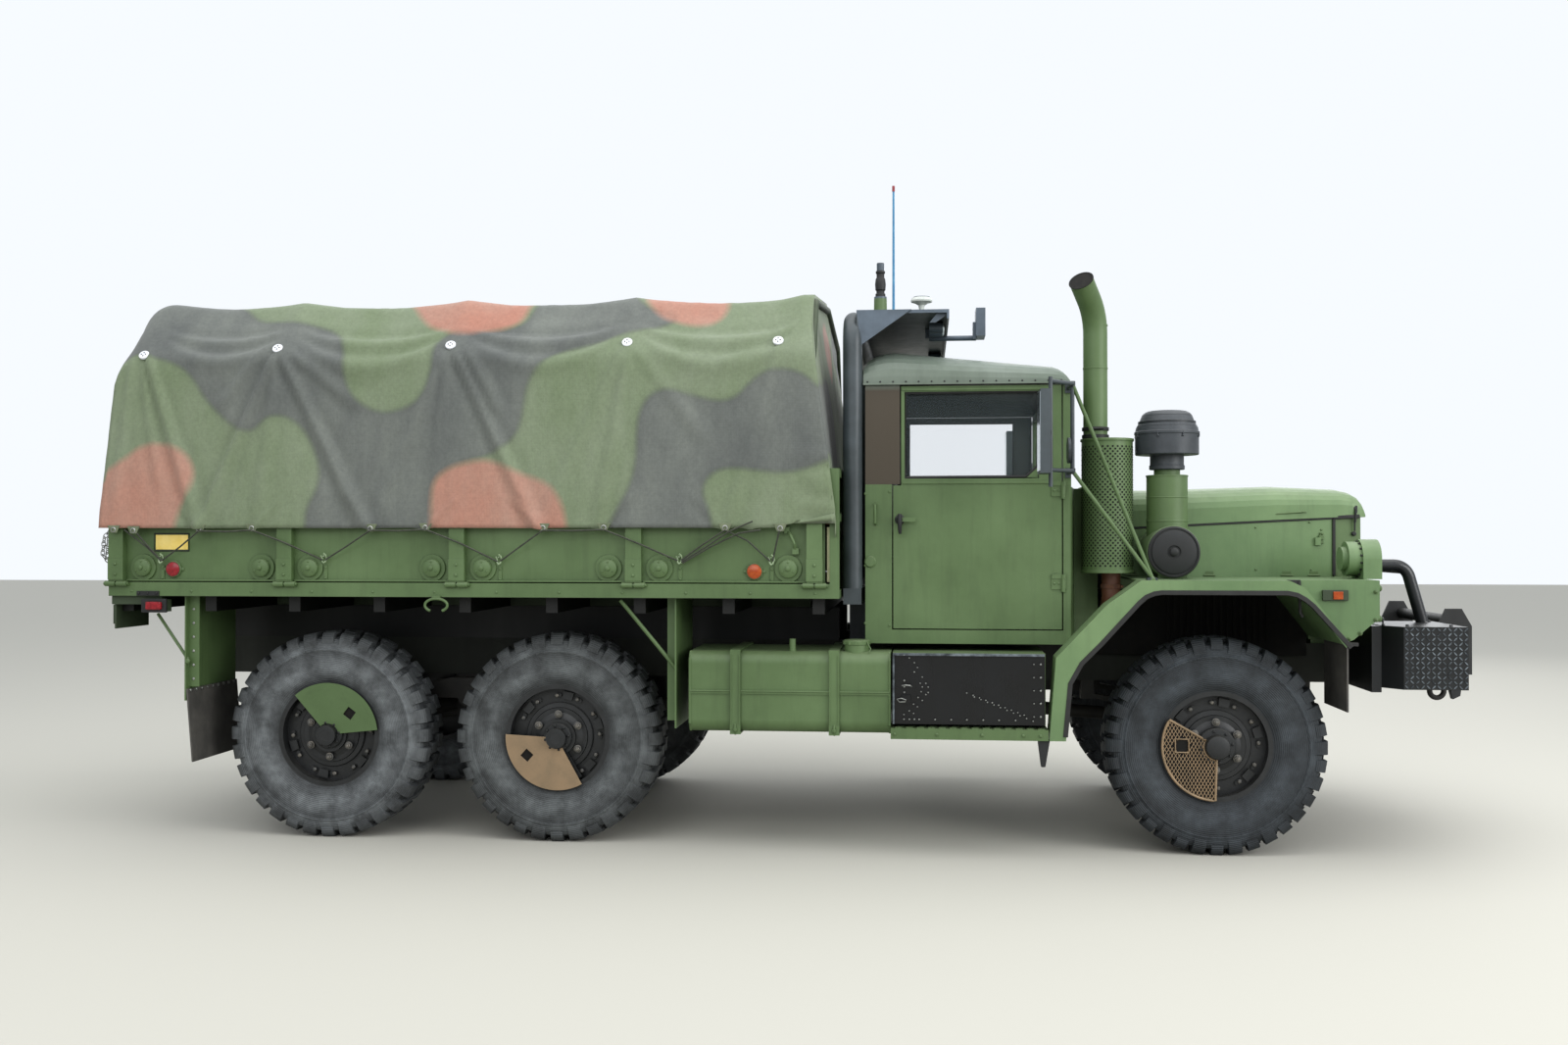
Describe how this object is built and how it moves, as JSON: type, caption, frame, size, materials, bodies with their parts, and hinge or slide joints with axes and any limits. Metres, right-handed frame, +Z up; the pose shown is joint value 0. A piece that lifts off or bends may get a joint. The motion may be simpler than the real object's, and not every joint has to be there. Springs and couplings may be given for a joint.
{
  "type": "military cargo truck",
  "caption": "Six-wheel-drive cargo truck with a hardtop cab, a drop-side bed under a canvas cover, a front winch and opening doors, hood and tailgate",
  "frame": {"origin": "middle of the truck's plan, on the floor under the tyres", "axes": "+X forward, +Y to the driver's left, +Z up"},
  "size_m": [7.155, 2.88, 3.571],
  "materials": {
    "green_paint": "dull green chemical-resistant paint",
    "chassis_paint": "dull dark green paint",
    "driveline_paint": "dull dark paint with grease and dust",
    "interior_paint": "semi-dull green paint",
    "black_paint": "satin black paint",
    "wheel_paint": "dull black paint on pressed steel",
    "bow_steel": "dull green paint",
    "canvas": "coated woven canvas with a camouflage pattern",
    "tyre": "worn dusty rubber",
    "flap_rubber": "dull rubber sheet",
    "glass": "clear flat glass",
    "lamp_lens": "moulded lenses in dark housings",
    "seat_vinyl": "green coated seat fabric"
  },
  "bodies": {
    "chassis": {"air_intake": "green_paint", "air_tanks": "green_paint", "bows": "bow_steel", "cab_tub": "green_paint", "canvas_cover": "canvas", "cargo_bed": "green_paint", "dashboard": "interior_paint", "drive_shafts": "driveline_paint", "drop_sides": "green_paint", "engine": "driveline_paint", "exhaust": "green_paint", "fenders": "green_paint", "frame": "chassis_paint", "front_axle": "driveline_paint", "front_bumper": "black_paint", "fuel_tank": "green_paint", "hardtop": "green_paint", "headlamps": "green_paint", "hood_sides": "green_paint", "marker_lamps": "lamp_lens", "mirrors": "black_paint", "mud_flaps": "flap_rubber", "mud_guards": "green_paint", "radiator_grille": "green_paint", "rear_axles": "driveline_paint", "roll_bar": "black_paint", "roof_equipment": "black_paint", "seats": "seat_vinyl", "side_boxes": "green_paint", "springs": "driveline_paint", "steering_wheel": "black_paint", "winch": "black_paint", "windshield_frame": "green_paint", "windshield_glass": "glass"},
    "hood": {"hood": "green_paint"},
    "door_right": {"door_right": "green_paint", "door_glass_right": "glass"},
    "door_left": {"door_left": "green_paint", "door_glass_left": "glass"},
    "tailgate": {"tailgate": "green_paint"},
    "side_box_lid": {"side_box_lid": "black_paint"},
    "knuckle_right": {"knuckle_right": "driveline_paint"},
    "knuckle_left": {"knuckle_left": "driveline_paint"},
    "tie_rod": {"tie_rod": "driveline_paint"},
    "wheel_front_right": {"wheel_front_right": "wheel_paint", "tyre_front_right": "tyre"},
    "wheel_front_left": {"wheel_front_left": "wheel_paint", "tyre_front_left": "tyre"},
    "wheel_middle_right": {"wheel_middle_right": "wheel_paint", "tyre_middle_right": "tyre"},
    "wheel_middle_left": {"wheel_middle_left": "wheel_paint", "tyre_middle_left": "tyre"},
    "wheel_rear_right": {"wheel_rear_right": "wheel_paint", "tyre_rear_right": "tyre"},
    "wheel_rear_left": {"wheel_rear_left": "wheel_paint", "tyre_rear_left": "tyre"}
  },
  "joints": [
    {"name": "steering_right", "type": "hinge", "parent": "chassis", "child": "knuckle_right", "pos_m": [2.1225, -0.72, 0.53401], "axis": [0, 0, 1], "range_deg": [-28, 28]},
    {"name": "steering_left", "type": "hinge", "parent": "chassis", "child": "knuckle_left", "pos_m": [2.1225, 0.72, 0.53401], "axis": [0, 0, 1], "range_deg": [-28, 28]},
    {"name": "tie_rod_pivot", "type": "hinge", "parent": "knuckle_right", "child": "tie_rod", "pos_m": [1.9225, -0.72, 0.46401], "axis": [0, 0, 1], "range_deg": [-28, 28]},
    {"name": "roll_front_right", "type": "hinge", "parent": "knuckle_right", "child": "wheel_front_right", "pos_m": [2.1225, -0.862, 0.53401], "axis": [0, 1, 0], "continuous": true},
    {"name": "roll_front_left", "type": "hinge", "parent": "knuckle_left", "child": "wheel_front_left", "pos_m": [2.1225, 0.862, 0.53401], "axis": [0, 1, 0], "continuous": true},
    {"name": "roll_middle_right", "type": "hinge", "parent": "chassis", "child": "wheel_middle_right", "pos_m": [-1.18, -0.862, 0.53401], "axis": [0, 1, 0], "continuous": true},
    {"name": "roll_middle_left", "type": "hinge", "parent": "chassis", "child": "wheel_middle_left", "pos_m": [-1.18, 0.862, 0.53401], "axis": [0, 1, 0], "continuous": true},
    {"name": "roll_rear_right", "type": "hinge", "parent": "chassis", "child": "wheel_rear_right", "pos_m": [-2.399, -0.862, 0.53401], "axis": [0, 1, 0], "continuous": true},
    {"name": "roll_rear_left", "type": "hinge", "parent": "chassis", "child": "wheel_rear_left", "pos_m": [-2.399, 0.862, 0.53401], "axis": [0, 1, 0], "continuous": true},
    {"name": "door_right_hinge", "type": "hinge", "parent": "chassis", "child": "door_right", "pos_m": [1.3845, -1.01, 1.5], "axis": [0, 0, 1], "range_deg": [0, 55]},
    {"name": "door_left_hinge", "type": "hinge", "parent": "chassis", "child": "door_left", "pos_m": [1.3845, 1.01, 1.5], "axis": [0, 0, -1], "range_deg": [0, 55]},
    {"name": "hood_hinge", "type": "hinge", "parent": "chassis", "child": "hood", "pos_m": [1.6005, 0, 1.842], "axis": [0, -1, 0], "range_deg": [0, 60]},
    {"name": "tailgate_hinge", "type": "hinge", "parent": "chassis", "child": "tailgate", "pos_m": [-3.4955, 0, 1.338], "axis": [0, -1, 0], "range_deg": [0, 90]},
    {"name": "side_box_hinge", "type": "hinge", "parent": "chassis", "child": "side_box_lid", "pos_m": [1.2775, -1.162, 0.82], "axis": [0, 0, 1], "range_deg": [0, 95]}
  ],
  "couplings": [
    {"joint": "steering_left", "follows": "steering_right", "ratio": 1},
    {"joint": "tie_rod_pivot", "follows": "steering_right", "ratio": -1}
  ]
}
